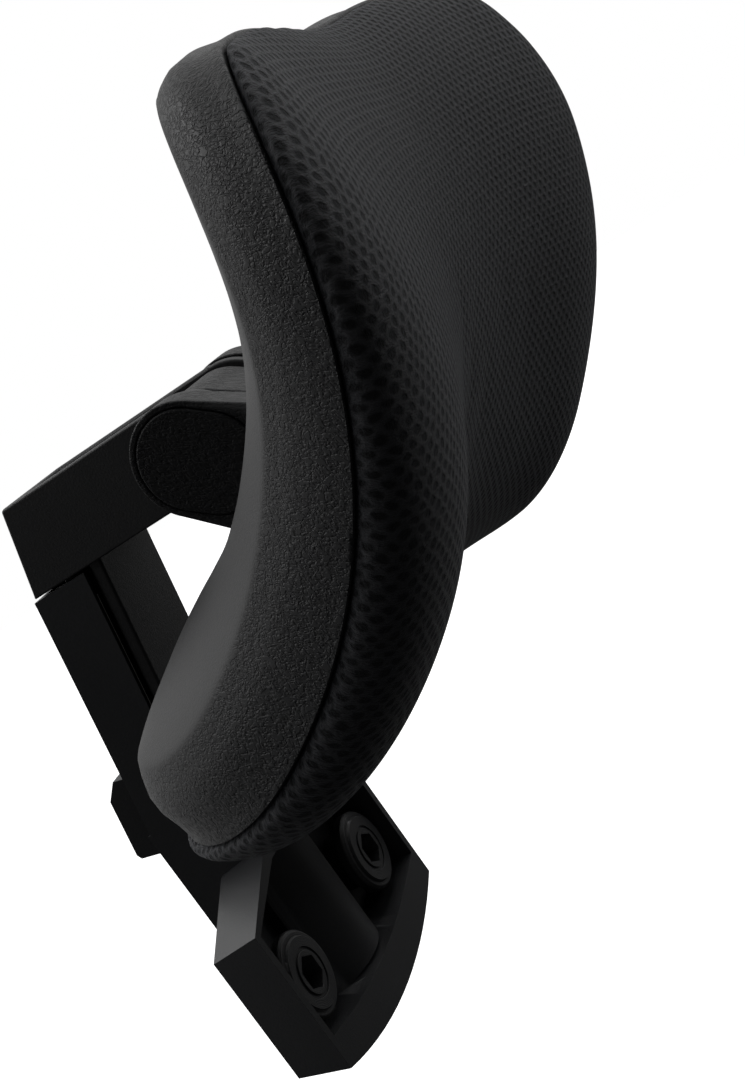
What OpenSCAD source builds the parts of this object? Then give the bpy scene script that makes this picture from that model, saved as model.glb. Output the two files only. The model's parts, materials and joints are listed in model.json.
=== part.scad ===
// Chair headrest attachment: a padded neck rest on a tilting, height-adjustable arm.
// Origin: midway between the two mounting holes, on the plane of the base's front rim.
// +Z runs up the base, -Y is the side the padded face looks to, +X is the sitter's left.

/* [Mounting base] */
// Distance between the two mounting holes
hole_spacing = 65; // [58:1:66]
// Radius of a mounting hole, clearance for an M6 screw
hole_r = 3.25; // [2.6:0.05:3.4]
// Width of the base across its front rim
base_w = 98; // [96:1:110]
// Depth of the base from the front rim to the back of its wings
base_depth = 17; // [16:1:20]
// Wall thickness of the moulded parts
wall = 2.6; // [2:0.1:3]

/* [Guide sleeve and riser] */
// Forward lean of the sleeve from the mounting plane, in degrees
sleeve_lean = 11.5; // [8:0.5:14]
// Width of the sleeve
sleeve_w = 35.4; // [34:0.2:40]
// Height of the sleeve's top edge above the mounting holes
sleeve_top = 121; // [110:1:130]
// Distance between two height positions
notch_pitch = 9; // [8:1:9]
// Number of height positions
notch_count = 6; // [4:1:6]

/* [Arm] */
// Height of the arm's two cheeks
arm_h = 24.4; // [22:0.2:27]
// Width across the arm's cheeks
arm_w = 36; // [35:0.5:38]
// Tilt axis, measured forward of the mounting plane
pivot_forward = 52; // [48:1:60]
// Tilt axis, measured above the mounting holes
pivot_up = 131.5; // [128:0.5:136]

/* [Pad] */
// Forward lean of the pad in its stored position, in degrees
pad_lean = 38.8; // [30:0.2:45]
// Width of the back shell
pad_w = 268; // [240:2:290]
// Height of the back shell
pad_h = 158; // [140:2:164]
// Radius of the pad's corners
corner_r = 33; // [26:1:46]
// Radius of the pad's side-to-side hollow
hollow_r = 368; // [300:4:460]
// Radius of the pad's top-to-bottom crown
crown_r = 115; // [105:1:150]
// Thickness of the foam at the middle
foam_mid = 22.5; // [18:1:28]
// Thickness of the foam at the crest of each lobe
foam_crest = 26.5; // [20:1:32]

/* [Hidden] */
$fn = 48;
eps = 0.05;

// Base outline, as half widths and heights
base_hw = base_w / 2;
side_top = 22;
side_bottom = -21.5;
roof_hw = 20;
roof_top = 33;
arc_drop = 7.5;
rim_bottom = 9;
rim_roof = 4;
pocket_floor = base_depth - 3;
back_inset = 2.8;
bulge_hw = 18.4;
bulge_crest = 2.6;
bulge_r = 25.4;
bulge_bottom = -16;
neck_back = 29.6;
neck_bottom = 2;
neck_front = 12.7;
neck_top = 50;

// Sleeve frame: depths (y) and heights (z) are measured in the leaning frame
sleeve_front = 20.8;
sleeve_back = 38.1;
sleeve_wall = 2.1;
sleeve_hw = sleeve_w / 2;
channel_hw = sleeve_hw - sleeve_wall;
tunnel_front = 13.2;
tunnel_hw = 16.4;
tunnel_top = 46;

// Riser section, in the same leaning frame
riser_front = 15.7;
riser_flange = 3.8;
riser_hw = 16;
riser_web_hw = 7;
riser_back = 29;
riser_back_flange = 3.8;
riser_back_hw = 14.4;
riser_bottom = 8;
rack_hw = 6.5;
rack_depth = 2.2;
rack_window_hw = 4.6;
rack_window_h = 4.4;
liner_t = 0.9;
stop_z = 110.2;
stop_r = 1.95;
stop_tip = 27.2;
travel = (notch_count - 1) * notch_pitch;

// Height lever, a rocker set in a window in the sleeve's back
lever_y = 34.5;
lever_z = 48;
lever_hw = 15;
lever_low = 36.2;
lever_high = 60.4;
lever_face = 46.6;
lever_inner = 37;
tooth_z = 58.3;
tooth_tip = riser_back + 0.3;
pin_r = 1.5;

// Arm
arm_bottom = sleeve_top + 0.7;
arm_top = arm_bottom + arm_h;
arm_hw = arm_w / 2;
cheek_t = 3.5;
cheek_end_r = 14.4;
arm_rear_low = 13.6;
arm_rear_high = 5.8;
arm_floor_front = -30;

// Tilt hinge, layer by layer out from the middle
bolt_r = 3;
run_gap = 0.06;
knuckle_hw = 11.6;
washer_t = 1.6;
bush_flange_t = 1.2;
ear_inner = 18.3;
ear_web = 3;
ear_outer = 28;
ear_r = 15;
cover_t = 1.8;
cover_inset = 1.8;
head_t = 3.7;
spring_washer_t = 1;

// Pad frame: x across, y back, z up the pad
pad_y = -100;
pad_z = 123.3;
crown_up = 3;
pivot_back = (-pivot_forward - pad_y) * cos(pad_lean) + (pivot_up - pad_z) * sin(pad_lean);
pivot_low = (pivot_up - pad_z) * cos(pad_lean) - (-pivot_forward - pad_y) * sin(pad_lean);
shell_wall = 2.6;
board_edge = 8;
board_t = 3.4;
clip_gap = 1.5;
clip_len = 12.8;
staple_w = 6;
staple_gap = 1.1;
hem_w = 14;
hem_t = 0.8;
seam_n = 0.6;
ridge_n = -16;
plateau_n = -21;
side_bow = 4;
waist = 2;
lobe_low = 2;
ring_points = 72;

function base_arc(hw, z_end, drop) =
  let (r = (hw * hw + drop * drop) / (2 * drop), a = asin(hw / r))
  [for (i = [0:16]) let (t = -a + 2 * a * i / 16) [r * sin(t), z_end - drop + r - r * cos(t)]];
function base_outline(hw, low, high, roof, drop) =
  concat(base_arc(hw, low, drop), [[hw, high], [roof_hw, roof], [-roof_hw, roof], [-hw, high]]);

// A plate of the given outline in the XZ plane, from depth y0 to y1
module upright(points, y0, y1) {
  translate([0, y1, 0]) rotate([90, 0, 0]) linear_extrude(y1 - y0) polygon(points);
}

// A drafted block whose outline shrinks by inset from depth y0 to y1
module drafted(hw, low, high, roof, drop, inset, y0, y1) {
  hull() {
    upright(base_outline(hw, low, high, roof, drop), y0, y0 + eps);
    upright(base_outline(hw - inset, low + inset * 0.7, high - inset * 0.9, roof - inset * 0.9, drop), y1 - eps, y1);
  }
}

module box(x0, x1, y0, y1, z0, z1) {
  translate([x0, y0, z0]) cube([x1 - x0, y1 - y0, z1 - z0]);
}

module across(y, z, r, x0, x1) {
  translate([x0, y, z]) rotate([0, 90, 0]) cylinder(r = r, h = x1 - x0);
}

module leaning() {
  rotate([sleeve_lean, 0, 0]) children();
}

module bulge(extra_r, hw, z0, z1) {
  intersection() {
    translate([0, bulge_crest + bulge_r, z0]) cylinder(r = bulge_r + extra_r, h = z1 - z0, $fn = 96);
    box(-hw, hw, bulge_crest - 5, pocket_floor + 1, z0 - 1, z1 + 1);
  }
}

module mounting_boss(side) {
  translate([side * hole_spacing / 2, base_depth - 0.5, 0]) rotate([90, 0, 0])
    cylinder(r = 9, h = base_depth - 0.5 - 7.2);
}

module housing_outside() {
  difference() {
    drafted(base_hw, side_bottom, side_top, roof_top, arc_drop, back_inset, 0, base_depth);
    drafted(base_hw - wall, side_bottom + rim_bottom, side_top - 1.2, roof_top - rim_roof, 4.8,
            back_inset * pocket_floor / base_depth, -eps, pocket_floor);
  }
  bulge(0, bulge_hw, bulge_bottom, roof_top - 2.9);
  bulge(-1.6, bulge_hw - 1.8, side_bottom + 2, bulge_bottom + 1);
  box(-bulge_hw + 0.3, bulge_hw - 0.3, 12, base_depth - 1, bulge_bottom + 0.4, roof_top - 3.3);
  mounting_boss(-1);
  mounting_boss(1);
  leaning() box(-bulge_hw + 0.55, bulge_hw - 0.55, tunnel_front, sleeve_front + 1.2, 6, tunnel_top);
  side_plate(-sleeve_hw, sleeve_hw) sleeve_side_outline();
}

// The neck and the leaning sleeve, seen from the side
module sleeve_side_outline() {
  translate([neck_front, neck_bottom]) square([neck_back - neck_front, neck_top - neck_bottom]);
  difference() {
    rotate(sleeve_lean) translate([sleeve_front, neck_top - 10]) square([sleeve_back - sleeve_front, 100]);
    translate([-60, sleeve_top]) square([140, 60]);
    translate([neck_back, 0]) square([60, 60]);
  }
}

module base_housing() color([0.055, 0.057, 0.062]) difference() {
  housing_outside();
  leaning() {
    box(-tunnel_hw, tunnel_hw, riser_front - 0.4, sleeve_front + 0.4, riser_bottom - 1, 160);
    box(-channel_hw, channel_hw, sleeve_front - 1, riser_back + 0.35, riser_bottom - 1, 160);
    box(-channel_hw, channel_hw, riser_back, sleeve_back - sleeve_wall, 33, 160);
    box(-lever_hw - 0.4, lever_hw + 0.4, sleeve_back - 8, sleeve_back + 8, lever_low - 1, lever_high + 0.6);
    across(lever_y, lever_z, pin_r, -sleeve_hw + 1.1, sleeve_hw - 1.1);
    translate([0, sleeve_back + 1, stop_z]) rotate([90, 0, 0]) cylinder(r = stop_r, h = 5);
  }
  for (side = [-1, 1]) translate([side * hole_spacing / 2, 0, 0]) rotate([-90, 0, 0])
    translate([0, 0, -1]) cylinder(r = 6, h = base_depth + 3);
}

// A turned disc with a stepped face, a hexagonal socket and a clearance hole
module mounting_insert(side) {
  flange = 12.6;
  face = 2.9;
  profile = [[0, face], [6.2, face], [6.2, face + 0.5], [7.2, face + 0.5], [7.2, face + 0.1], [10.2, face + 0.1],
             [10.6, face + 0.9], [11.7, face + 0.9], [flange, face + 1.9], [flange, 7.2], [6, 7.2],
             [6, base_depth], [0, base_depth]];
  color([0.10, 0.10, 0.105]) difference() {
    translate([side * hole_spacing / 2, 0, 0]) rotate([-90, 0, 0]) rotate_extrude($fn = 64) polygon(profile);
    translate([side * hole_spacing / 2, 0, 0]) rotate([-90, 30, 0]) translate([0, 0, face - 1])
      cylinder(r = 5.1, h = 6.5, $fn = 6);
    translate([side * hole_spacing / 2, 0, 0]) rotate([-90, 0, 0]) translate([0, 0, face - 1])
      cylinder(r = hole_r, h = base_depth);
  }
}
module mounting_insert_left() mounting_insert(-1);
module mounting_insert_right() mounting_insert(1);

// Low-friction strips that the riser's back flange runs between
module sleeve_liner(side) {
  color([0.80, 0.80, 0.78]) leaning()
    translate([side * (channel_hw - liner_t / 2) - liner_t / 2, sleeve_front + 0.6, 62])
      cube([liner_t, riser_back - sleeve_front, 50]);
}
module sleeve_liner_left() sleeve_liner(-1);
module sleeve_liner_right() sleeve_liner(1);

module lever_pin() color([0.62, 0.62, 0.64]) leaning()
  across(lever_y, lever_z, pin_r, -sleeve_hw + 1.3, sleeve_hw - 1.3);

// Torsion spring: a square-cut wire wound round the lever's pin, with two legs
spring_wire = 0.4;
spring_r = 2.35;
spring_turns = 5;
spring_len = 6;
function wire_ring(c, u, w) = [for (k = [0:7]) c + spring_wire * (cos(k * 45) * u + sin(k * 45) * w)];
module lever_spring() {
  steps = spring_turns * 20;
  rings = [for (i = [0:steps])
    let (a = i * 360 / 20, radial = [0, cos(a), sin(a)])
    wire_ring([-spring_len / 2 + spring_len * i / steps, 0, 0] + spring_r * radial, radial, [1, 0, 0])];
  points = [for (r = rings) each r];
  faces = concat(
    [[for (k = [0:7]) k]],
    [for (i = [0:steps - 1], k = [0:7]) let (m = (k + 1) % 8)
      each [[i * 8 + k, i * 8 + 8 + k, i * 8 + 8 + m], [i * 8 + k, i * 8 + 8 + m, i * 8 + m]]],
    [[for (k = [7:-1:0]) steps * 8 + k]]);
  color([0.60, 0.60, 0.62]) leaning() translate([0, lever_y, lever_z]) polyhedron(points, faces);
}

// Its tip runs in a slot in the riser and stops the riser at full height
module stop_screw() color([0.58, 0.58, 0.60]) leaning() {
  translate([0, sleeve_back + 0.9, stop_z]) rotate([90, 0, 0]) difference() {
    union() {
      cylinder(r = 3.4, h = 0.9);
      cylinder(r = stop_r, h = sleeve_back + 0.9 - stop_tip);
    }
    translate([0, 0, -1]) cylinder(r = 1.2, h = 1.6, $fn = 6);
  }
}

// Rocker: press its lower half and the tooth on its upper half leaves the rack
module height_lever() color([0.05, 0.052, 0.056]) leaning() difference() {
  union() {
    difference() {
      side_plate(-lever_hw, lever_hw) polygon([[lever_inner, lever_low], [lever_face - 1, lever_low],
        [lever_face, lever_low + 1.4], [lever_face, lever_high - 5.5], [lever_face - 3.6, lever_high],
        [lever_inner, lever_high]]);
      box(-lever_hw + 2, lever_hw - 2, lever_inner - 1, lever_face - 2, lever_low + 2, lever_high - 6);
    }
    for (side = [-1, 1]) {
      across(lever_y, lever_z, 3, side > 0 ? 8 : -14.4, side > 0 ? 14.4 : -8);
      box(side > 0 ? 8 : -14.4, side > 0 ? 14.4 : -8, lever_y, lever_face - 1.5, lever_z - 2.6, lever_z + 2.6);
    }
    box(-3.8, 3.8, tooth_tip, lever_inner + 2, tooth_z - 1.6, tooth_z + 1.6);
  }
  across(lever_y, lever_z, pin_r + run_gap, -20, 20);
}

function notch_z(i) = tooth_z - i * notch_pitch;
rack_low = notch_z(notch_count - 1) - 3.4;
rack_high = tooth_z + 3.4;
rack_screw_z = [notch_z(0.5), notch_z(notch_count - 1.5)];

module arm_side_outline() {
  difference() {
    union() {
      polygon([[arm_rear_low, arm_bottom], [arm_rear_high, arm_top], [-pivot_forward, arm_top], [-pivot_forward, arm_bottom]]);
      translate([-pivot_forward, pivot_up]) circle(r = cheek_end_r, $fn = 96);
    }
    translate([-100, arm_top]) square([200, 20]);
    translate([-100, arm_bottom - 20]) square([200, 20]);
  }
}

// Extrudes an outline drawn in the (y, z) plane along x, from x0 to x1
module side_plate(x0, x1) {
  translate([x0, 0, 0]) rotate([90, 0, 90]) linear_extrude(x1 - x0) children();
}

module riser_arm() color([0.07, 0.07, 0.075]) difference() {
  union() {
    side_plate(-arm_hw, -arm_hw + cheek_t) arm_side_outline();
    side_plate(arm_hw - cheek_t, arm_hw) arm_side_outline();
    side_plate(-arm_hw + 1, arm_hw - 1) polygon([[arm_rear_low, arm_bottom], [arm_rear_high, arm_top],
      [arm_rear_high - 3, arm_top], [arm_rear_low - 6, arm_bottom + 3.4],
      [arm_floor_front, arm_bottom + 3.4], [arm_floor_front, arm_bottom]]);
    difference() {
      leaning() {
        box(-riser_hw, riser_hw, riser_front, riser_front + riser_flange, riser_bottom, 132);
        box(-riser_web_hw, riser_web_hw, riser_front + 1, riser_back - 1, riser_bottom, 132);
        box(-riser_back_hw, riser_back_hw, riser_back - riser_back_flange, riser_back, riser_bottom, 132);
      }
      box(-50, 50, -50, 50, arm_bottom + 2, 160);
    }
  }
  leaning() {
    box(-rack_hw - eps, rack_hw + eps, riser_back - rack_depth, riser_back + 1, rack_low - eps, rack_high + eps);
    for (z = rack_screw_z) translate([0, riser_back - 6, z]) rotate([-90, 0, 0]) cylinder(r = 1.1, h = 8);
    box(-stop_r - 0.3, stop_r + 0.3, stop_tip - 1, riser_back + 1, stop_z - travel - stop_r - 0.15, stop_z + stop_r + 0.15);
  }
  across(-pivot_forward, pivot_up, 4.5, -40, 40);
}

module rack_strip() color([0.66, 0.66, 0.68]) leaning() difference() {
  box(-rack_hw, rack_hw, riser_back - rack_depth, riser_back, rack_low, rack_high);
  for (i = [0:notch_count - 1])
    box(-rack_window_hw, rack_window_hw, riser_back - 5, riser_back + 1, notch_z(i) - rack_window_h / 2, notch_z(i) + rack_window_h / 2);
  for (z = rack_screw_z) translate([0, riser_back - 6, z]) rotate([-90, 0, 0]) cylinder(r = 1.1, h = 8);
}

module rack_screws() color([0.55, 0.55, 0.57]) leaning()
  for (z = rack_screw_z) translate([0, riser_back - 5.6, z]) rotate([-90, 0, 0])
    cylinder(r = 1.1, h = 5.55);

module pivot_bush(side) {
  x_in = arm_hw - cheek_t - bush_flange_t;
  color([0.82, 0.81, 0.77]) mirror([side < 0 ? 1 : 0, 0, 0]) difference() {
    union() {
      across(-pivot_forward, pivot_up, 7, x_in, x_in + bush_flange_t);
      across(-pivot_forward, pivot_up, 4.5, x_in, arm_hw);
    }
    across(-pivot_forward, pivot_up, bolt_r + run_gap, x_in - 1, arm_hw + 1);
  }
}
module pivot_bush_left() pivot_bush(-1);
module pivot_bush_right() pivot_bush(1);

// ---- Pad -------------------------------------------------------------------
module in_pad() {
  translate([0, pad_y, pad_z]) rotate([pad_lean, 0, 0]) children();
}

// A quarter of the pad's outline, f from 0 at the side to 1 at the top: side, rounded corner, top edge
function quarter_point(a, b, r, f) =
  f < 0.3 ? [a, (b - r) * f / 0.3]
  : f < 0.66 ? let (t = (f - 0.3) * 90 / 0.36) [a - r + r * cos(t), b - r + r * sin(t)]
  : [(a - r) * (1 - f) / 0.34, b];
// The full outline at u from 0 to 4; the sides bow outward and the top and bottom edges dip at the middle
function outline_point(a, b, u) =
  let (q = floor(u), f = u - q, p = quarter_point(a, b, corner_r * b / shell_b, q % 2 == 0 ? f : 1 - f),
       x = p[0] - side_bow * a / shell_a * pow(p[1] / b, 2), z = p[1] - waist * b / shell_b * exp(-pow(x / 34, 2)))
  [q == 1 || q == 2 ? -x : x, q >= 2 ? -z : z];
// The saddle surface that the whole pad follows: hollow across, crowned up and down
function saddle(x, z) = x * x / (2 * hollow_r) - pow(z - crown_up, 2) / (2 * crown_r);
// One closed ring of the pad: half width a, half height b, n in front of the saddle.
// Rings behind the saddle sweep further back towards the top and bottom edges.
function swept(n, z) = n < -5 ? n * (1 + 0.25 * pow(z / shell_b, 2)) : n;
function pad_ring(a, b, n) = [for (k = [0:ring_points - 1])
  let (p = outline_point(a, b, (k + 0.5) * 4 / ring_points))
  [p[0], -(swept(n, p[1]) + saddle(p[0], p[1])), p[1]]];
// The same ring on the crowned front face, where rho runs from 1 at the edge to 0 in the middle
function crest(x) = exp(-pow((abs(x) - 0.68 * pad_w / 2) / 36, 2));
function front_n(x, z, rho, mid, top) =
  mid * (1 - 0.2 * z / shell_b) * pow(1 - pow(rho, 4.6), 0.5)
  + (top - mid) * crest(x) * (1 - lobe_low * z / shell_b) * pow(1 - pow(rho, 9), 0.5);
function dome_ring(a, b, rho, n0, mid, top) = [for (k = [0:ring_points - 1])
  let (p = outline_point(a * rho, b * rho, (k + 0.5) * 4 / ring_points))
  [p[0], -(n0 + front_n(p[0], p[1], rho, mid, top) + saddle(p[0], p[1])), p[1]]];

// A closed solid from rings listed from the back's middle round the rim to the front's middle
module ring_solid(rings, back_n, front) {
  n = ring_points;
  count = len(rings);
  points = concat([for (r = rings) each r], [[0, -back_n, 0], [0, -front, 0]]);
  back_pole = n * count;
  faces = concat(
    [for (k = [0:n - 1]) [back_pole, k, (k + 1) % n]],
    [for (i = [0:count - 2], k = [0:n - 1]) let (m = (k + 1) % n)
      each [[i * n + k, (i + 1) * n + k, (i + 1) * n + m], [i * n + k, (i + 1) * n + m, i * n + m]]],
    [for (k = [0:n - 1]) [back_pole + 1, (count - 1) * n + (k + 1) % n, (count - 1) * n + k]]);
  polyhedron(points, faces);
}

shell_a = pad_w / 2;
shell_b = pad_h / 2;
// Half width, half height and depth of each ring of the shell's outside, from the middle of its back
shell_rings = [[0.3, 0.3, plateau_n], [0.6, 0.58, plateau_n], [0.8, 0.72, plateau_n + 0.3], [0.87, 0.79, plateau_n + 1.6],
               [0.905, 0.835, ridge_n - 2], [0.925, 0.87, ridge_n], [0.96, 0.93, ridge_n + 5], [0.99, 0.985, -3], [1, 1, seam_n]];
module back_shell_skin() {
  t = shell_wall;
  outside = [for (r = shell_rings) pad_ring(r[0] * shell_a, r[1] * shell_b, r[2])];
  inside = [for (i = [len(shell_rings) - 1:-1:0]) let (r = shell_rings[i])
    pad_ring(r[0] * shell_a - t, r[1] * shell_b - t, i == len(shell_rings) - 1 ? seam_n : r[2] + t)];
  ring_solid(concat(outside, inside), plateau_n, plateau_n + t);
}

// A lug that carries the hinge, seen from the side: round at the pivot, square into the shell
module lug(x0, x1, r) {
  shell_y = -(plateau_n + 1.2);
  hull() {
    across(pivot_back, pivot_low, r, x0, x1);
    box(x0, x1, shell_y + 3, shell_y + 4, pivot_low - r - 2, pivot_low + r + 2);
  }
}

module cover_outline(r, x0, x1) {
  hull() {
    across(pivot_back, pivot_low, r, x0, x1);
    across(pivot_back - 7, pivot_low, r, x0, x1);
  }
}

module back_shell() color([0.06, 0.06, 0.065]) in_pad() difference() {
  union() {
    back_shell_skin();
    lug(-ear_outer, -ear_inner, ear_r);
    lug(ear_inner, ear_outer, ear_r);
    lug(-knuckle_hw, knuckle_hw, 13.4);
    box(-ear_outer, ear_outer, -(plateau_n) + 0.6, -(plateau_n) + 5, pivot_low - 18, pivot_low + 18);
  }
  across(pivot_back, pivot_low, bolt_r + 0.02, -40, 40);
  for (side = [-1, 1]) mirror([side < 0 ? 1 : 0, 0, 0]) {
    across(pivot_back, pivot_low, 8, ear_inner + ear_web, ear_outer + 1);
    cover_outline(ear_r - cover_inset, ear_outer - cover_t, ear_outer + 1);
  }
}

module pad_board() color([0.12, 0.12, 0.12]) in_pad() {
  a = shell_a - board_edge;
  b = shell_b - board_edge;
  ring_solid([pad_ring(a * 0.4, b * 0.4, -board_t), pad_ring(a * 0.8, b * 0.8, -board_t), pad_ring(a, b, -board_t),
              pad_ring(a, b, 0), pad_ring(a * 0.8, b * 0.8, 0), pad_ring(a * 0.4, b * 0.4, 0)], board_t, 0);
}

// Snap clips pressed between the board and the shell
module board_clips() color([0.75, 0.74, 0.70]) in_pad()
  for (x = [-95, -48, 48, 95], z = [-38, 38])
    translate([x, -saddle(x, z) + board_t + clip_gap, z]) rotate([-90, 0, 0]) cylinder(r = 3, h = clip_len);

foam_gap = 0.35;
module foam_pad() color([0.86, 0.84, 0.70]) in_pad() {
  a = shell_a - 6;
  b = shell_b - 6;
  steps = [1, 0.97, 0.92, 0.84, 0.72, 0.58, 0.42, 0.24, 0.1];
  ring_solid(concat(
    [pad_ring(a * 0.4, b * 0.4, foam_gap), pad_ring(a * 0.8, b * 0.8, foam_gap), pad_ring(a, b, foam_gap)],
    [for (s = steps) dome_ring(a + 4, b + 4, s, 3, foam_mid - 3, foam_crest - 3)]),
    foam_gap, 3 + front_n(0, 0, 0, foam_mid - 3, foam_crest - 3));
}

// Spacer-mesh cover: a skin over the foam whose hem wraps the board's edge and lies on its back
module mesh_cover() color([0.035, 0.035, 0.04]) in_pad() {
  a = shell_a;
  b = shell_b;
  skin = 2.4;
  steps = [1, 0.97, 0.92, 0.84, 0.72, 0.58, 0.42, 0.24, 0.1];
  outside = [for (s = steps) dome_ring(a - 2 + skin, b - 2 + skin, s, 3, foam_mid - 3 + skin, foam_crest - 3 + skin)];
  inside = [for (i = [len(steps) - 1:-1:0])
    dome_ring(a - 2 + foam_gap, b - 2 + foam_gap, steps[i], 3, foam_mid - 3 + foam_gap, foam_crest - 3 + foam_gap)];
  hem_in = board_edge - 0.3;
  hem = [for (h = [[6 - foam_gap, 0.3], [6 - foam_gap, 0.05], [hem_in, 0.05], [hem_in, -board_t - 0.25],
                   [hem_in + hem_w, -board_t - 0.25], [hem_in + hem_w, -board_t - 0.25 - hem_t],
                   [hem_in - hem_t, -board_t - 0.25 - hem_t], [hem_in - hem_t, -0.8], [5.2, -0.8], [3.4, 0.72], [2, 0.72]])
    pad_ring(a - h[0], b - h[0], h[1])];
  ring_solid(concat(inside, hem, outside),
             3 + front_n(0, 0, 0, foam_mid - 3 + foam_gap, foam_crest - 3 + foam_gap),
             3 + front_n(0, 0, 0, foam_mid - 3 + skin, foam_crest - 3 + skin));
}

// Staples that hold the cover's hem to the back of the board
module cover_staples() color([0.70, 0.70, 0.72]) in_pad()
  for (side = [-1, 1], x = [-100:20:100]) let (z = side * (shell_b - board_edge - 7))
    translate([x, -saddle(x, z) + board_t + hem_t + staple_gap, z]) rotate([0, 0, -atan(x / hollow_r)])
      translate([-staple_w / 2, 0, -0.4]) cube([staple_w, 0.6, 0.8]);

module pivot_bolt() color([0.62, 0.62, 0.64]) in_pad() difference() {
  x_head = ear_inner + ear_web + spring_washer_t;
  union() {
    across(pivot_back, pivot_low, bolt_r, -x_head - 0.5, x_head + head_t);
    across(pivot_back, pivot_low, 5.4, -x_head - head_t + 0.2, -x_head);
  }
  translate([-x_head - head_t, pivot_back, pivot_low]) rotate([0, 90, 0]) cylinder(r = 2.3, h = 2.4, $fn = 6);
}

module pivot_nut() color([0.62, 0.62, 0.64]) in_pad() difference() {
  x_head = ear_inner + ear_web + spring_washer_t;
  translate([x_head, pivot_back, pivot_low]) rotate([0, 90, 0]) cylinder(r = 5.77, h = head_t - 0.2, $fn = 6);
  across(pivot_back, pivot_low, bolt_r, 0, 40);
}

module ring_at(x0, x1, r_out, r_in) {
  difference() {
    across(pivot_back, pivot_low, r_out, x0, x1);
    across(pivot_back, pivot_low, r_in, x0 - 1, x1 + 1);
  }
}

module friction_washers() color([0.30, 0.29, 0.27]) in_pad() {
  ring_at(knuckle_hw, knuckle_hw + washer_t, 9, bolt_r + 0.1);
  ring_at(-knuckle_hw - washer_t, -knuckle_hw, 9, bolt_r + 0.1);
}

module spring_washers() color([0.64, 0.64, 0.66]) in_pad() {
  x_seat = ear_inner + ear_web;
  ring_at(x_seat, x_seat + spring_washer_t, 6.4, bolt_r + 0.1);
  ring_at(-x_seat - spring_washer_t, -x_seat, 6.4, bolt_r + 0.1);
}

module hinge_cover(side) color([0.06, 0.06, 0.065]) in_pad() mirror([side < 0 ? 1 : 0, 0, 0])
  cover_outline(ear_r - cover_inset - 0.1, ear_outer - cover_t, ear_outer + 0.3);
module hinge_cover_left() hinge_cover(-1);
module hinge_cover_right() hinge_cover(1);

base_housing();
mounting_insert_left();
mounting_insert_right();
sleeve_liner_left();
sleeve_liner_right();
lever_pin();
lever_spring();
stop_screw();
height_lever();
riser_arm();
rack_strip();
rack_screws();
pivot_bush_left();
pivot_bush_right();
back_shell();
pad_board();
board_clips();
foam_pad();
mesh_cover();
cover_staples();
pivot_bolt();
pivot_nut();
friction_washers();
spring_washers();
hinge_cover_left();
hinge_cover_right();
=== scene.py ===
# %% [markdown]
# # A neck rest for an office chair
# A padded neck rest sits on a short arm. The arm's riser slides in a leaning sleeve, and the sleeve
# is one moulding with the base that is bolted to the chair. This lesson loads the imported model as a
# fixed frame and then gives every piece its finished shape and surface.
# The frame comes first, because every later place and size is read from it.

# %% Load the frame
import json
import math
from contextlib import contextmanager

import bmesh
import bpy
import numpy as np
from mathutils import Matrix, Vector


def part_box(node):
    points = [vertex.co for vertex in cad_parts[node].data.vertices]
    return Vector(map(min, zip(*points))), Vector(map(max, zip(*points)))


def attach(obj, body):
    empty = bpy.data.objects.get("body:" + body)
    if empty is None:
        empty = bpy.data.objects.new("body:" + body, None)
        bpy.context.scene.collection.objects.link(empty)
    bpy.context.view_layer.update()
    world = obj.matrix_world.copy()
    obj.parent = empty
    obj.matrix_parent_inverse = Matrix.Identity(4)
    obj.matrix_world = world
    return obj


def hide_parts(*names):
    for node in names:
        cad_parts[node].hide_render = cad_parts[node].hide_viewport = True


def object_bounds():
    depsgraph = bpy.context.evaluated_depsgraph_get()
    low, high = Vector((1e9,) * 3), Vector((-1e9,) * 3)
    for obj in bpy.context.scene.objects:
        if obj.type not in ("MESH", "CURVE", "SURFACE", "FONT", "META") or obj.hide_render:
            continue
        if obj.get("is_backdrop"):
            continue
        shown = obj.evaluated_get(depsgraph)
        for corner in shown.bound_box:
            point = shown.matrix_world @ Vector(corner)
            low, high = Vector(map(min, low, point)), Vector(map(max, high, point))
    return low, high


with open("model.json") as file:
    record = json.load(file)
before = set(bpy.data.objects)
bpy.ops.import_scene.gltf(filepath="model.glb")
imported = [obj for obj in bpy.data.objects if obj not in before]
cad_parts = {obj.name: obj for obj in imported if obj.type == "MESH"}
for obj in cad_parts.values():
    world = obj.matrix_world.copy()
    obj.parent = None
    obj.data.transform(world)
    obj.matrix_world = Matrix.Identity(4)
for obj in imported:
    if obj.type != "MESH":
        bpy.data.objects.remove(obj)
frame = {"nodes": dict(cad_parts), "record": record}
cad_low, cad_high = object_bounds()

MM = 0.001
scene = bpy.context.scene

# %% [markdown]
# ## The camera and the studio
# The neck rest is seen from its left end, a little from above, with the camera rolled so that the
# arm climbs across the frame. The camera is set by its place and three angles, which is easier to
# adjust than a matrix. A neck rest hangs on a chair, so the pale floor lies well below it, and the
# room is a white tent: brighter behind the object than around the camera, so that black plastic
# gets light edges without turning grey.

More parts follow.
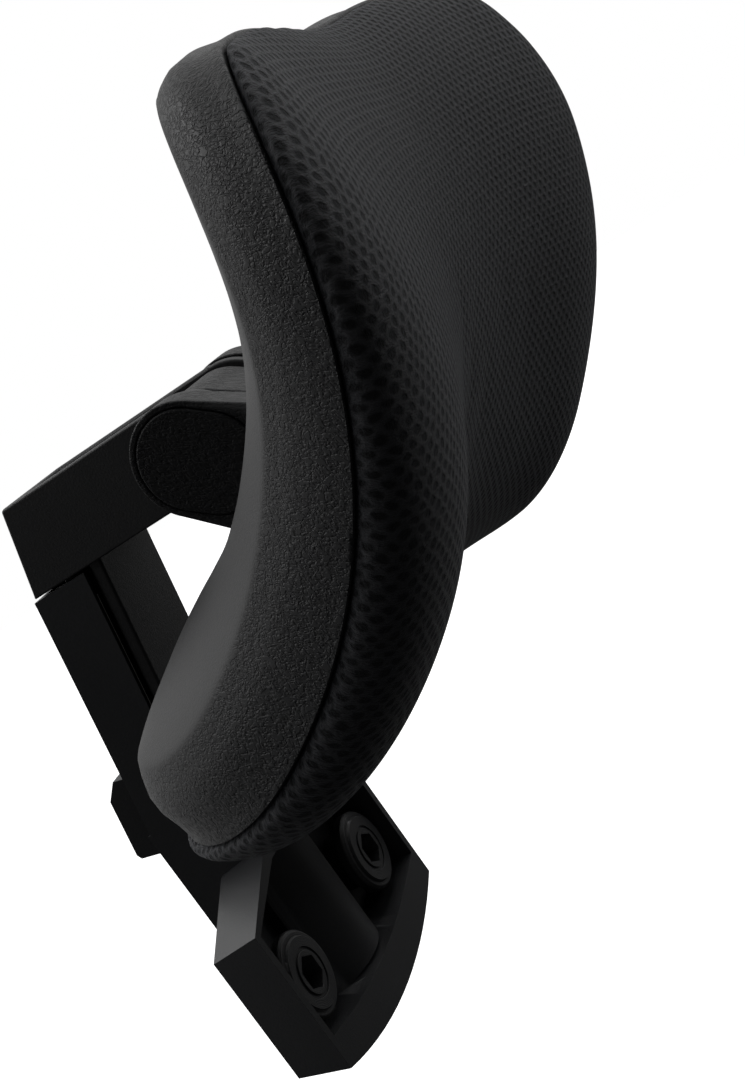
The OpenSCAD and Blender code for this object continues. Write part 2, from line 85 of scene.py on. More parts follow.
# %% Camera
camera_place = Vector((-0.40225, -0.23894, 0.15789))
camera_azimuth, camera_elevation, camera_roll = (math.radians(d) for d in (-67.04, 9.34, -34.72))
camera_back = Vector((math.sin(camera_azimuth) * math.cos(camera_elevation),
                      -math.cos(camera_azimuth) * math.cos(camera_elevation), math.sin(camera_elevation)))
level_right = Vector((0, 0, 1)).cross(camera_back).normalized()
level_up = camera_back.cross(level_right)
camera_right = math.cos(camera_roll) * level_right + math.sin(camera_roll) * level_up
camera_up = camera_back.cross(camera_right)
camera_data = bpy.data.cameras.new("camera")
camera_data.sensor_width = 36
camera_data.lens = 57.03
camera_data.clip_start = 0.01
camera = bpy.data.objects.new("camera", camera_data)
scene.collection.objects.link(camera)
camera_turn = Matrix((camera_right, camera_up, camera_back)).transposed().to_4x4()
camera.matrix_world = Matrix.Translation(camera_place) @ camera_turn
scene.camera = camera
scene.view_settings.view_transform = "Standard"
print("camera at", tuple(round(c, 3) for c in camera.location))

# %% [markdown]
# ## Formulas instead of wires
# A node tree is easier to read as a formula. The class below wraps one socket, and adding or
# multiplying two of them adds the Math node. One method makes every other kind of node.

# %% Sockets that do arithmetic
class Value:
    """One output socket of a finish, which can be used in a formula."""

    def __init__(self, finish, socket):
        self.finish, self.socket = finish, socket

    def math(self, operation, first, second=0.0):
        return self.finish.node("ShaderNodeMath", {"operation": operation}, {0: first, 1: second})

    def __add__(self, other): return self.math("ADD", self, other)
    def __radd__(self, other): return self.math("ADD", other, self)
    def __sub__(self, other): return self.math("SUBTRACT", self, other)
    def __rsub__(self, other): return self.math("SUBTRACT", other, self)
    def __mul__(self, other): return self.math("MULTIPLY", self, other)
    def __rmul__(self, other): return self.math("MULTIPLY", other, self)
    def __truediv__(self, other): return self.math("DIVIDE", self, other)
    def __pow__(self, other): return self.math("POWER", self, other)
    def __abs__(self): return self.math("ABSOLUTE", self)

    def part(self, axis):
        """One of the three numbers of a vector."""
        return self.finish.node("ShaderNodeSeparateXYZ", {}, {0: self}, axis)


class Finish:
    """A material or a world whose nodes are written as formulas."""

    def __init__(self, owner):
        owner.use_nodes = True
        self.owner, self.tree = owner, owner.node_tree
        self.tree.nodes.clear()

    def plug(self, socket, value):
        if isinstance(value, Value):
            self.tree.links.new(value.socket, socket)
        elif socket.type == "RGBA" and len(value) == 3:
            socket.default_value = (*value, 1)
        else:
            socket.default_value = value

    def node(self, kind, settings=None, inputs=None, output=0):
        """Adds one node: its settings first, then the values or links of its sockets."""
        made = self.tree.nodes.new(kind)
        for key, value in (settings or {}).items():
            setattr(made, key, value)
        for key, value in (inputs or {}).items():
            self.plug(made.inputs[key], value)
        return Value(self, made.outputs[output])

    def place(self):
        """Where a point of the surface lies, in metres."""
        return self.node("ShaderNodeTexCoord", {}, {}, "Object")

    def stretched(self, vector, scale, turn=(0, 0, 0)):
        """The same place, turned and then scaled, which pulls a pattern out in one direction."""
        return self.node("ShaderNodeMapping", {}, {"Vector": vector, "Scale": scale, "Rotation": turn})

    def noise(self, vector, scale, detail=3.0, roughness=0.5):
        return self.node("ShaderNodeTexNoise", {}, {"Vector": vector, "Scale": scale, "Detail": detail,
                                                    "Roughness": roughness})

    def smooth(self, value, low, high):
        """0 below low, 1 above high, and a soft step between."""
        return self.node("ShaderNodeMapRange", {"interpolation_type": "SMOOTHSTEP"},
                         {"Value": value, "From Min": low, "From Max": high})

    def mix(self, factor, first, second):
        return self.node("ShaderNodeMix", {"data_type": "RGBA"}, {0: factor, 6: first, 7: second}, 2)

    def bump(self, height, depth):
        """Relief: height runs from 0 to about 1, and depth is what 1 means in metres."""
        return self.node("ShaderNodeBump", {}, {"Height": height, "Distance": depth})

    def surface(self, **inputs):
        """Ends the tree in one Principled surface."""
        named = {name.replace("_", " "): value for name, value in inputs.items()}
        shader = self.node("ShaderNodeBsdfPrincipled", {}, named)
        self.tree.links.new(shader.socket, self.tree.nodes.new("ShaderNodeOutputMaterial").inputs["Surface"])
        return self.owner


def finish(name):
    return Finish(bpy.data.materials.new(name))


print("formula helpers ready")

# %% [markdown]
# ## Light
# The world is a white tent. What the lens sees of it is plain white. What lights the object is
# brighter behind it and above it than beside the camera. Two large panels add the long soft
# highlights on the arm and on the fabric.

# %% Tent, panels and floor
tent_bright_side = Vector((0.50, 0.52, 0.69)).normalized()
tent = Finish(bpy.data.worlds.new("white_tent"))
scene.world = tent.owner
looking = tent.node("ShaderNodeTexCoord", {}, {}, "Generated")
behind = tent.node("ShaderNodeVectorMath", {"operation": "DOT_PRODUCT"},
                   {0: looking, 1: tent_bright_side}, "Value")
tent_dim, tent_gain = 0.035, 0.75
glow = tent.smooth(behind, -0.2, 0.95) * tent_gain + tent_dim
seen = tent.node("ShaderNodeLightPath", {}, {}, "Is Camera Ray")
tent_light = tent.node("ShaderNodeBackground", {}, {"Color": (1, 1, 1), "Strength": glow + seen * (1 - glow)})
tent.tree.links.new(tent_light.socket, tent.tree.nodes.new("ShaderNodeOutputWorld").inputs["Surface"])


def panel(name, place, target, size, power):
    """A square softbox that faces a point."""
    light = bpy.data.lights.new(name, "AREA")
    light.size, light.energy = size, power
    lamp = bpy.data.objects.new(name, light)
    scene.collection.objects.link(lamp)
    lamp.location = place
    lamp.rotation_mode = "QUATERNION"
    lamp.rotation_quaternion = (Vector(target) - Vector(place)).to_track_quat("-Z", "Y")


object_middle = (cad_low + cad_high) / 2
panel("top_panel", (0.5, -0.35, 1.0), object_middle, 0.8, 2)
panel("back_panel", (0.15, 0.80, 1.1), object_middle, 0.5, 3.5)
panel("front_panel", (0.75, -0.80, 0.55), object_middle, 0.6, 2.5)

floor_drop, floor_size = 0.45, 12
bpy.ops.mesh.primitive_plane_add(size=floor_size, location=(0, 0, cad_low.z - floor_drop))
floor = bpy.context.object
floor.name = "floor"
floor.data.materials.append(finish("pale_floor").surface(
    Base_Color=(0.7, 0.7, 0.7), Roughness=0.9, Emission_Color=(1, 1, 1), Emission_Strength=1.0))
floor.visible_diffuse = floor.visible_glossy = False
floor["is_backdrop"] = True
print("floor at", round(floor.location.z, 3))

# %% [markdown]
# ## The pad's own shape
# The pad follows a saddle: it is hollow from side to side, to take a neck, and crowned from top to
# bottom. Its outline is a rounded rectangle with bowed sides. Every part of the pad is drawn from
# these two rules, so the shell, the foam and the cover fit one another at any fineness.
# The rules work in the pad's own frame: x across, n out of the padded face, z up the pad.

# %% Pad dimensions
pad_centre = Vector((0, -100 * MM, 123.3 * MM))
pad_lean = math.radians(38.8)
half_width, half_height = 134 * MM, 79 * MM
corner_radius, side_bow, edge_dip, dip_reach = 33 * MM, 4 * MM, 2 * MM, 34 * MM
top_swell, swell_reach = 3 * MM, 50 * MM
hollow_radius, crown_radius, crown_shift = 368 * MM, 115 * MM, 3 * MM
foam_middle, foam_crest = 22.5 * MM, 26.5 * MM  # the padding's height in the middle and at each lobe
crest_place, crest_reach = 0.68, 36 * MM        # the lobe's place as a share of the half width, and its reach
lower_fullness, lower_lobe = 0.2, 2.0           # how much more padding lies low, in the body and at the lobes
body_edge, lobe_edge = 4.6, 9                   # the higher, the later the padding falls away to the rim
side_share, corner_end = 0.3, 0.66              # a quarter outline is side, then corner, then top
ear_inner, ear_outer, ear_radius, knuckle_half = 18.3 * MM, 28 * MM, 15 * MM, 11.6 * MM
hinge_forward, hinge_up = 52 * MM, 131.5 * MM
print("pad", round(2 * half_width, 3), "by", round(2 * half_height, 3))


# %% Outline
def bell(distance, reach):
    """1 at no distance, falling smoothly to nearly 0 past the reach."""
    return np.exp(-(distance / reach) ** 2)


def outline(a, b, u):
    """Points of the rounded outline of half width a and half height b; u goes from 0 to 4 round it."""
    quarter = np.floor(u).astype(int) % 4
    f = u - np.floor(u)
    f = np.where(quarter % 2 == 0, f, 1 - f)
    r = corner_radius * b / half_height
    turn = np.clip((f - side_share) / (corner_end - side_share), 0, 1) * math.pi / 2
    on_side, on_corner = f < side_share, f < corner_end
    top_x, side_z = (a - r) * (1 - f) / (1 - corner_end), (b - r) * f / side_share
    x = np.where(on_side, a, np.where(on_corner, a - r + r * np.cos(turn), top_x))
    z = np.where(on_side, side_z, np.where(on_corner, b - r + r * np.sin(turn), b))
    climb = (z / np.maximum(b, 1e-9)) ** 2
    x = x - side_bow * a / half_width * climb
    swell = np.where(quarter < 2, top_swell, 0) * climb * (1 - bell(x, swell_reach))
    z = z + (swell - edge_dip * bell(x, dip_reach)) * b / half_height
    return np.where((quarter == 1) | (quarter == 2), -x, x), np.where(quarter >= 2, -z, z)


outline_x, outline_z = outline(half_width, half_height, np.linspace(0, 4, 200))
print("outline reaches", round(outline_x.max(), 4), "m across and", round(outline_z.max(), 4), "m up")

# %% Saddle and padded face
def saddle(x, z):
    """How far the middle surface of the pad lies in front of its centre plane."""
    return x ** 2 / (2 * hollow_radius) - (z - crown_shift) ** 2 / (2 * crown_radius)


def padding(x, z, rho, middle, crest):
    """Height of the padded face over the saddle; rho is 0 in the middle and 1 at the rim."""
    lobe = bell(np.abs(x) - crest_place * half_width, crest_reach) * (1 - lower_lobe * z / half_height)
    body = middle * (1 - lower_fullness * z / half_height) * np.sqrt(np.clip(1 - rho ** body_edge, 0, 1))
    return body + (crest - middle) * lobe * np.sqrt(np.clip(1 - rho ** lobe_edge, 0, 1))


def to_row(x, n, z):
    """Points of the pad's frame in the row's frame; n is how far they lie in front of the saddle."""
    back = -(n + saddle(x, z))
    c, s = math.cos(pad_lean), math.sin(pad_lean)
    return np.stack([x + pad_centre.x, back * c - z * s + pad_centre.y, back * s + z * c + pad_centre.z], -1)


print("ends lie", round(float(saddle(half_width, 0)) * 1000, 1), "mm in front of the middle")

# %% [markdown]
# Every new piece is made in the same steps: its points come from the rules above, a skin is laid
# through them, its faces are turned outwards, and its modifiers are worked into the mesh.

# %% Mesh helpers
@contextmanager
def edited(piece):
    """Opens a piece's mesh for an edit and writes it back."""
    work = bmesh.new()
    work.from_mesh(piece.data)
    yield work
    work.to_mesh(piece.data)
    work.free()


def new_piece(name, points, faces, smooth=True):
    """A mesh object at the origin, with its place in its points."""
    mesh = bpy.data.meshes.new(name)
    mesh.from_pydata(np.asarray(points).reshape(-1, 3).tolist(), [], faces)
    mesh.update()
    if smooth:
        mesh.shade_smooth()
    piece = bpy.data.objects.new(name, mesh)
    scene.collection.objects.link(piece)
    return piece


def loft(rings, closed_back, closed_front):
    """Points and faces of a closed skin through rings of equal length, with a centre point at each end."""
    count = len(rings[0])
    points = np.concatenate([*rings, [closed_back], [closed_front]])
    step = np.arange(count)
    after = (step + 1) % count
    faces = []
    for ring in range(len(rings) - 1):
        low, high = ring * count, (ring + 1) * count
        faces += [(low + i, high + i, high + j, low + j) for i, j in zip(step, after)]
    back, front = len(rings) * count, len(rings) * count + 1
    last = (len(rings) - 1) * count
    faces += [(back, i, j) for i, j in zip(step, after)]
    faces += [(front, last + j, last + i) for i, j in zip(step, after)]
    return points, faces


def facing_out(piece, merged=True):
    """Turns every face outwards, after points that lie on each other are merged."""
    with edited(piece) as work:
        if merged:
            bmesh.ops.remove_doubles(work, verts=work.verts, dist=1e-6)
        bmesh.ops.recalc_face_normals(work, faces=work.faces)
    return piece


def triangles(piece):
    return sum(len(f.vertices) - 2 for f in piece.data.polygons)


def apply_modifiers(piece):
    """Replaces the piece's mesh by what its modifiers make of it."""
    evaluated = piece.evaluated_get(bpy.context.evaluated_depsgraph_get())
    mesh = bpy.data.meshes.new_from_object(evaluated)
    piece.modifiers.clear()
    piece.data = mesh
    return piece


print("mesh helpers ready")

# %% [markdown]
# ## Black plastics
# All the plastic is black polypropylene, but each moulding has its own surface. The shell's skirt has
# a deep leather grain, and its dished back is sand blasted. A grain could be carved into the mesh, but
# it would need millions of faces. On black parts colour hardly changes, so bump and roughness carry
# the grain, and a lighter tone follows the highest points.

# %% Leather grain
finishes = {}


def leather_height(f, place, size):
    """Wavy creases that run across the skirt: the places where a pulled noise crosses its middle."""
    upright = f.stretched(place, (1, 1, 1), (-pad_lean, 0, 0))
    warp = f.node("ShaderNodeTexNoise", {}, {"Vector": upright, "Scale": 0.5 / size, "Detail": 2}, "Color")
    pulled = f.node("ShaderNodeVectorMath", {"operation": "MULTIPLY_ADD"},
                    {0: warp, 1: (1.2 * size,) * 3, 2: upright})
    first = f.noise(f.stretched(pulled, (1.0, 0.22, 1.0)), 0.62 / size, 2, 0.55)
    second = f.noise(f.stretched(pulled, (0.8, 0.8, 1.0), (0.5, 0, 0)), 0.50 / size, 1, 0.5)
    crease = f.smooth(abs(first - 0.5), 0.0, 0.085)
    pits = f.smooth(abs(second - 0.5), 0.0, 0.07)
    return crease * (pits * 0.45 + 0.55)


def leather_plastic():
    f = finish("leather_black")
    place = f.place()
    grain_here = f.node("ShaderNodeAttribute", {"attribute_name": "grain"}, {}, "Fac")
    deep = leather_height(f, place, 0.72 * MM)
    sand = f.noise(place, 1900, 3, 0.65)
    patches = f.noise(place, 24, 2)
    strength = (grain_here * 0.8 + 0.2) * (0.45 + patches * 0.9)
    height = deep * strength + sand * (0.16 - grain_here * 0.08)
    tone = f.mix(f.smooth(height, 0.1, 1.1), (0.0042, 0.0044, 0.0052), (0.0105, 0.0109, 0.0120))
    rough = 0.47 + grain_here * 0.03 + sand * 0.10 - deep * grain_here * 0.07
    return f.surface(Base_Color=tone, Roughness=rough, Specular_IOR_Level=0.27,
                     Normal=f.bump(height, 0.17 * MM))


finishes["shell"] = leather_plastic()
print("leather grain:", finishes["shell"].name)

# %% [markdown]
# The arm has a fine spark texture and the base is nearly smooth. Both are one fine noise, and broad
# patches of a second noise make the surface a little worn. The same recipe with other numbers makes
# the board and the friction washers.

# %% Spark texture
def spark_plastic(name, dark, light, rough, depth, specular):
    """Fine even texture, with a little wear in broad patches."""
    f = finish(name)
    place = f.place()
    grit = f.noise(place, 1500, 4, 0.7)
    flow = f.noise(f.stretched(place, (1, 1, 0.35)), 38, 3)
    tone = f.mix(f.smooth(grit * 0.6 + flow * 0.6, 0.35, 0.9), dark, light)
    return f.surface(Base_Color=tone, Roughness=rough - 0.06 + grit * 0.10 + flow * 0.05,
                     Specular_IOR_Level=specular, Normal=f.bump(grit, depth))


for look, name, dark, light, rough, depth, specular in (
        ("base", "satin_black", (0.0105, 0.0112, 0.0130), (0.0190, 0.0200, 0.0225), 0.42, 0.06, 0.55),
        ("arm", "spark_black", (0.0090, 0.0092, 0.0100), (0.0180, 0.0184, 0.0198), 0.48, 0.12, 0.5),
        ("lever", "lever_black", (0.0100, 0.0106, 0.0120), (0.0180, 0.0190, 0.0210), 0.42, 0.06, 0.45),
        ("board", "board_black", (0.012, 0.012, 0.012), (0.020, 0.020, 0.020), 0.6, 0.05, 0.45),
        ("friction", "friction_fibre", (0.05, 0.045, 0.04), (0.09, 0.08, 0.07), 0.8, 0.1, 0.45)):
    finishes[look] = spark_plastic(name, dark, light, rough, depth * MM, specular)
print("spark textures:", [look for look in finishes if look != "shell"])

# %% [markdown]
# The two discs in the base are turned, so rings run round each screw. The rings are a sine of the
# distance from the nearest screw, because a picture of rings would have to be placed twice.

# %% Turned discs
def turned_plastic():
    """Dark grey discs with fine turning marks round each screw's axis."""
    f = finish("turned_grey")
    place = f.place()
    hole = abs(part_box("mounting_insert_right")[0].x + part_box("mounting_insert_right")[1].x) / 2
    across = abs(place.part(0)) - hole
    radius = (across ** 2 + place.part(2) ** 2) ** 0.5
    marks = f.node("ShaderNodeMath", {"operation": "SINE"}, {0: radius * (2 * math.pi / (0.45 * MM))})
    grit = f.noise(place, 1300, 3, 0.6)
    tone = f.mix(f.smooth(grit + marks * 0.06, 0.3, 0.8), (0.016, 0.0165, 0.018), (0.030, 0.031, 0.033))
    return f.surface(Base_Color=tone, Roughness=0.36 + grit * 0.14, Specular_IOR_Level=0.5,
                     Normal=f.bump(marks * 0.35 + grit, 0.05 * MM))


finishes["discs"] = turned_plastic()
print("turned discs:", finishes["discs"].name)

# %% [markdown]
# Inside are zinc plated steel, natural nylon and open foam. They hardly show, so each gets one noise
# that varies its tone and its gloss.

# %% Steel, nylon and foam
def plated_steel():
    f = finish("plated_steel")
    place = f.place()
    brushed = f.noise(f.stretched(place, (1, 1, 9)), 260, 3)
    tone = f.mix(brushed, (0.42, 0.42, 0.44), (0.60, 0.60, 0.62))
    return f.surface(Base_Color=tone, Metallic=1.0, Roughness=0.24 + brushed * 0.2,
                     Normal=f.bump(brushed, 0.02 * MM))


def soft_white_nylon():
    f = finish("natural_nylon")
    cloud = f.noise(f.place(), 120, 3)
    tone = f.mix(cloud, (0.55, 0.54, 0.50), (0.68, 0.67, 0.63))
    return f.surface(Base_Color=tone, Roughness=0.38 + cloud * 0.12, Normal=f.bump(cloud, 0.02 * MM))


def foam_finish():
    f = finish("open_cell_foam")
    cells = f.node("ShaderNodeTexVoronoi", {}, {"Vector": f.place(), "Scale": 1400})
    tone = f.mix(f.smooth(cells, 0.1, 0.6), (0.42, 0.40, 0.31), (0.60, 0.58, 0.48))
    return f.surface(Base_Color=tone, Roughness=0.95, Normal=f.bump(cells, 0.3 * MM))


finishes.update(steel=plated_steel(), nylon=soft_white_nylon(), foam=foam_finish())
print("hidden materials:", [finishes[look].name for look in ("steel", "nylon", "foam")])

# %% [markdown]
# ## Spacer mesh
# The cover is a knitted spacer fabric: an outer face of yarn with staggered oval openings, and a
# space in shade behind it. Thousands of real openings would make the mesh too heavy, so relief and
# painted light show them: each opening is painted nearly black as the shade inside it, and the yarn
# lighter, partly as a painted highlight. They are drawn from the cover's own map, which measures the
# cloth in metres from the middle of the pad, so they follow the surface over the edges. Each opening is an
# ellipse on one of
# two grids that are shifted by half a step. Loose cloth at the pad's ends wanders more, and its
# fibres stand up.

# %% Fabric finish
def spacer_mesh():
    f = finish("spacer_mesh_black")
    step_across, step_along, hole_across, hole_along = 4.4 * MM, 3.9 * MM, 1.15 * MM, 0.75 * MM
    place = f.place()
    loose = f.node("ShaderNodeAttribute", {"attribute_name": "loose"}, {}, "Fac")
    cloth = f.node("ShaderNodeUVMap", {"uv_map": "weave"})
    wander = f.node("ShaderNodeTexNoise", {}, {"Vector": place, "Scale": 150, "Detail": 2}, "Color")
    pulled = f.node("ShaderNodeVectorMath", {"operation": "MULTIPLY_ADD"},
                    {0: wander, 1: loose * (2.4 * MM) + 0.5 * MM, 2: cloth})
    across, along = pulled.part(0) / step_across, pulled.part(1) / step_along

    def opening(shift):
        """Distance from the nearest opening of one grid, in sizes of that opening."""
        shifted_across, shifted_along = across + shift, along + shift
        side = shifted_across.math("FRACT", shifted_across) - 0.5
        rise = shifted_along.math("FRACT", shifted_along) - 0.5
        return ((side * (step_across / hole_across)) ** 2 + (rise * (step_along / hole_along)) ** 2) ** 0.5

    grid = opening(0.0)
    nearest = grid.math("MINIMUM", grid, opening(0.5))
    fibre = f.noise(f.stretched(pulled, (0.34, 1.5, 1)), 2100, 3, 0.65)
    fluff = f.noise(place, 1500, 4, 0.75)
    yarn = f.smooth(nearest, 0.60, 1.55)
    strands = f.smooth(fibre, 0.34, 0.66)
    height = yarn * (0.50 + strands * 0.50) + fluff * (loose * 0.95 + 0.16)
    # Painted shade and highlight: each opening is painted nearly black for the shade inside it, and the yarn
    # is painted lighter over its strands and standing fibres, partly as a painted highlight.
    yarn_and_painted_light = yarn * (0.18 + strands * 0.60 + fluff * (loose * 0.45 + 0.3))
    tone = f.mix(yarn_and_painted_light, (0.0006, 0.0006, 0.0008), (0.0460, 0.0470, 0.0515))
    return f.surface(Base_Color=tone, Roughness=0.80 - yarn * 0.20 + fluff * 0.10, Specular_IOR_Level=0.34,
                     Sheen_Weight=0.17, Sheen_Roughness=0.35, Sheen_Tint=(0.85, 0.9, 1.0),
                     Normal=f.bump(height, 1.0 * MM))


finishes["mesh"] = spacer_mesh()
print("finishes:", sorted(finishes))

# %% [markdown]
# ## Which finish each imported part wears
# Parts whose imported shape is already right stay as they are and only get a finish.

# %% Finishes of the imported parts
finish_of_slot = {"base_plastic": "base", "insert_plastic": "discs", "lever_plastic": "lever",
                  "arm_plastic": "arm", "shell_plastic": "shell", "board_plastic": "board", "nylon": "nylon",
                  "steel": "steel", "friction_disc": "friction", "foam": "foam", "mesh_fabric": "mesh"}
slot_of_node = {part["node"]: part["material_slot"] for part in frame["record"]["subparts"]}
for name, node in frame["nodes"].items():
    node.data.materials.clear()
    node.data.materials.append(finishes[finish_of_slot[slot_of_node[name]]])


def finished(piece, body, node_names, look):
    """Dresses a new piece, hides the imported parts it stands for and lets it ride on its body."""
    piece.data.materials.clear()
    piece.data.materials.append(finishes[look])
    for face in piece.data.polygons:
        face.material_index = 0
    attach(piece, body)
    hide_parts(*node_names)
    print(piece.name, triangles(piece), "triangles on", body)
    return piece


print("dressed", len(frame["nodes"]), "packed parts")

# %% [markdown]
# ## Softened mouldings
# A moulded part has no knife edge: its edges are rounded by a few tenths of a millimetre, and that
# is where black plastic catches the light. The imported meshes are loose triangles, so a copy is
# merged first, its flat faces are joined again, and a bevel rounds its outer edges. Edges inside a
# bore stay as they are, and the bevel stops where it would cross its neighbour. So a part with short
# edges, such as the base, stays nearly sharp, but no bore is closed.

# %% Round the edges of the rigid parts
smooth_angle = math.radians(34)


def round_edges(piece, radius, steps=2, clamped=True):
    """Bevels every outer edge that turns by more than the smooth angle, and shades the rest smooth."""
    with edited(piece) as work:
        weight = work.edges.layers.float.new("bevel_weight_edge")
        for edge in work.edges:
            if len(edge.link_faces) == 2 and edge.calc_face_angle_signed(0) > smooth_angle:
                edge[weight] = 1
    bevel = piece.modifiers.new("rounded_edges", "BEVEL")
    bevel.width, bevel.segments, bevel.limit_method = radius, steps, "WEIGHT"
    bevel.use_clamp_overlap = clamped
    apply_modifiers(piece)
    piece.data.shade_smooth()
    piece.data.set_sharp_from_angle(angle=smooth_angle)
    weighted = piece.modifiers.new("even_shading", "WEIGHTED_NORMAL")
    weighted.keep_sharp = True
    apply_modifiers(piece)


def softened(node_name, name, radius, clamped):
    """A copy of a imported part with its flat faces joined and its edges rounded."""
    piece = bpy.data.objects.new(name, frame["nodes"][node_name].data.copy())
    scene.collection.objects.link(piece)
    with edited(piece) as work:
        bmesh.ops.remove_doubles(work, verts=work.verts, dist=0.004 * MM)
        bmesh.ops.dissolve_limit(work, angle_limit=math.radians(0.8), verts=work.verts, edges=work.edges)
    round_edges(piece, radius, clamped=clamped)
    return piece


softened_parts = (("base_housing", "base_moulding", "base", 0.8, True, "base"),
                  ("height_lever", "lever_moulding", "lever", 0.9, True, "lever"),
                  ("riser_arm", "arm_moulding", "riser", 0.8, False, "arm"),
                  ("mounting_insert_left", "left_insert", "base", 0.25, True, "discs"),
                  ("mounting_insert_right", "right_insert", "base", 0.25, True, "discs"))
for node_name, name, body, radius, clamped, look in softened_parts:
    softer = softened(node_name, name, radius * MM, clamped)
    finished(softer, body, [node_name], look)
print("softened", len(softened_parts), "parts")

# %% [markdown]
# ## The back shell
# The shell is a thin dish. Its skirt rises from the seam to a crisp ridge, and inside the ridge the
# back is a smooth plateau. It is drawn as a skin through rings that all follow the pad's outline:
# the rings are close together where the surface turns, so the ridge stays sharp but not faceted.

# %% Skin of the shell
wall = 2.6 * MM
ridge_depth, plateau_depth = -16.0, -21.0
# Each ring of the profile is a share of the pad's half width, a share of its half height and a
# height over the saddle in millimetres, from the plateau over the ridge to the seam.
shell_profile = (
    (0.04, 0.04, -21), (0.15, 0.15, -21), (0.30, 0.30, -21), (0.45, 0.44, -21), (0.60, 0.58, -21),
    (0.66, 0.62, -20.9), (0.72, 0.66, -20.6), (0.77, 0.70, -20.1), (0.81, 0.735, -19.5),
    (0.845, 0.768, -18.85), (0.87, 0.793, -18.3), (0.89, 0.817, -17.75), (0.905, 0.838, -17.3),
    (0.914, 0.852, -16.95), (0.920, 0.862, -16.55), (0.9245, 0.869, -16.0), (0.929, 0.878, -15.4),
    (0.936, 0.890, -14.5), (0.947, 0.909, -12.9), (0.96, 0.93, -11.0), (0.973, 0.955, -7.9),
    (0.984, 0.974, -4.9), (0.992, 0.987, -2.3), (0.998, 0.9965, -0.6), (1.0, 1.0, 0.1))
ring_points = 320
around = (np.arange(ring_points) + 0.5) * 4 / ring_points
lean_back, end_shallow = 0.25, 0.14       # shares by which a ring gets deeper, and shallower at the ends
shallow_up, shallow_reach = 34 * MM, 30 * MM
swept_below = -5 * MM


def step(value, low, high):
    """0 below low, 1 above high, and a soft step between."""
    t = np.clip((value - low) / (high - low), 0, 1)
    return t * t * (3 - 2 * t)


def swept(n, x, z):
    """Rings behind the saddle are deeper towards the top and bottom edges and shallower high at the ends."""
    shallow = end_shallow * bell(z - shallow_up, shallow_reach) * step(np.abs(x), 45 * MM, 105 * MM)
    return np.where(n < swept_below, n * (1 + lean_back * (z / half_height) ** 2 - shallow), n)


def shell_ring(a, b, n):
    x, z = outline(a, b, around)
    return to_row(x, swept(np.full_like(x, n), x, z), z)


outer_rings = [shell_ring(a * half_width, b * half_height, n * MM) for a, b, n in shell_profile]
rim_rings = [shell_ring(half_width - inset * MM, half_height - inset * MM, n * MM)
             for inset, n in ((0.2, 0.5), (0.45, 0.6), (2.2, 0.6), (2.45, 0.45))]
inner_rings = [shell_ring(max(a * half_width - wall, 2 * MM), max(b * half_height - wall, 1 * MM),
                          min(n * MM + wall, 0.3 * MM)) for a, b, n in reversed(shell_profile[1:-1])]
centre_back = to_row(np.zeros(1), np.array([plateau_depth * MM]), np.zeros(1))[0]
centre_front = to_row(np.zeros(1), np.array([plateau_depth * MM + wall]), np.zeros(1))[0]
shell = new_piece("shell_moulding", *loft(outer_rings + rim_rings + inner_rings, centre_back, centre_front))
facing_out(shell)
print("shell skin:", len(outer_rings) + len(rim_rings) + len(inner_rings), "rings")

# %% [markdown]
# ## Hinge ears
# Two D-shaped ears and a round knuckle stand on the plateau and carry the tilt bolt. They are
# upright plates cut from one side outline: round at the bolt, widening into the shell. A shallow
# recess in each ear's outer face takes a cap.

# %% Plates in the pad's frame
hinge_back = ((-hinge_forward - pad_centre.y) * math.cos(pad_lean)
              + (hinge_up - pad_centre.z) * math.sin(pad_lean))
hinge_low = ((hinge_up - pad_centre.z) * math.cos(pad_lean)
             - (-hinge_forward - pad_centre.y) * math.sin(pad_lean))
pad_to_row = Matrix.Translation(pad_centre) @ Matrix.Rotation(pad_lean, 4, "X")


def rounded_tab(radius, foot, foot_half, points=40):
    """Side outline (back, up): an arc round the bolt that runs straight down to a wider foot."""
    reach, rise = hinge_back - foot, foot_half
    start = math.pi - math.atan2(rise, reach) - math.acos(min(1, radius / math.hypot(reach, rise)))
    turns = [start - 2 * start * i / points for i in range(points + 1)]
    arc = [(hinge_back + radius * math.cos(t), hinge_low + radius * math.sin(t)) for t in turns]
    return [(foot, hinge_low + foot_half), *arc, (foot, hinge_low - foot_half)]


def plate(name, outline_points, x0, x1):
    """A closed plate of the given side outline, from x0 to x1."""
    count = len(outline_points)
    points = [pad_to_row @ Vector((x, y, z)) for x in (x0, x1) for y, z in outline_points]
    faces = [tuple(range(count)), tuple(range(2 * count - 1, count - 1, -1))]
    faces += [(i, (i + 1) % count, count + (i + 1) % count, count + i) for i in range(count)]
    return facing_out(new_piece(name, points, faces, smooth=False))


def combine(piece, tool, operation):
    """Joins or cuts two closed pieces and removes the second."""
    boolean = piece.modifiers.new("combined", "BOOLEAN")
    boolean.operation, boolean.object, boolean.solver = operation, tool, "MANIFOLD"
    apply_modifiers(piece)
    bpy.data.objects.remove(tool)
    return piece


print("ear and knuckle shapes ready")

# %% Ears, caps and knuckle
cap_depth, cap_inset, cap_back, cap_gap = 1.8 * MM, 1.8 * MM, 7 * MM, 0.12 * MM
foot_depth, foot_half = 19.4 * MM, 17.4 * MM
knuckle_radius, knuckle_foot_half = 13.4 * MM, 15.4 * MM


def cap_outline(radius):
    """The cap's outline: two round ends, one about the bolt and one nearer the shell."""
    high = [(hinge_back + radius * math.cos(t), hinge_low + radius * math.sin(t))
            for t in np.linspace(math.pi / 2, -math.pi / 2, 28)]
    low = [(hinge_back - cap_back + radius * math.cos(t), hinge_low + radius * math.sin(t))
           for t in np.linspace(-math.pi / 2, -3 * math.pi / 2, 28)]
    return high + low


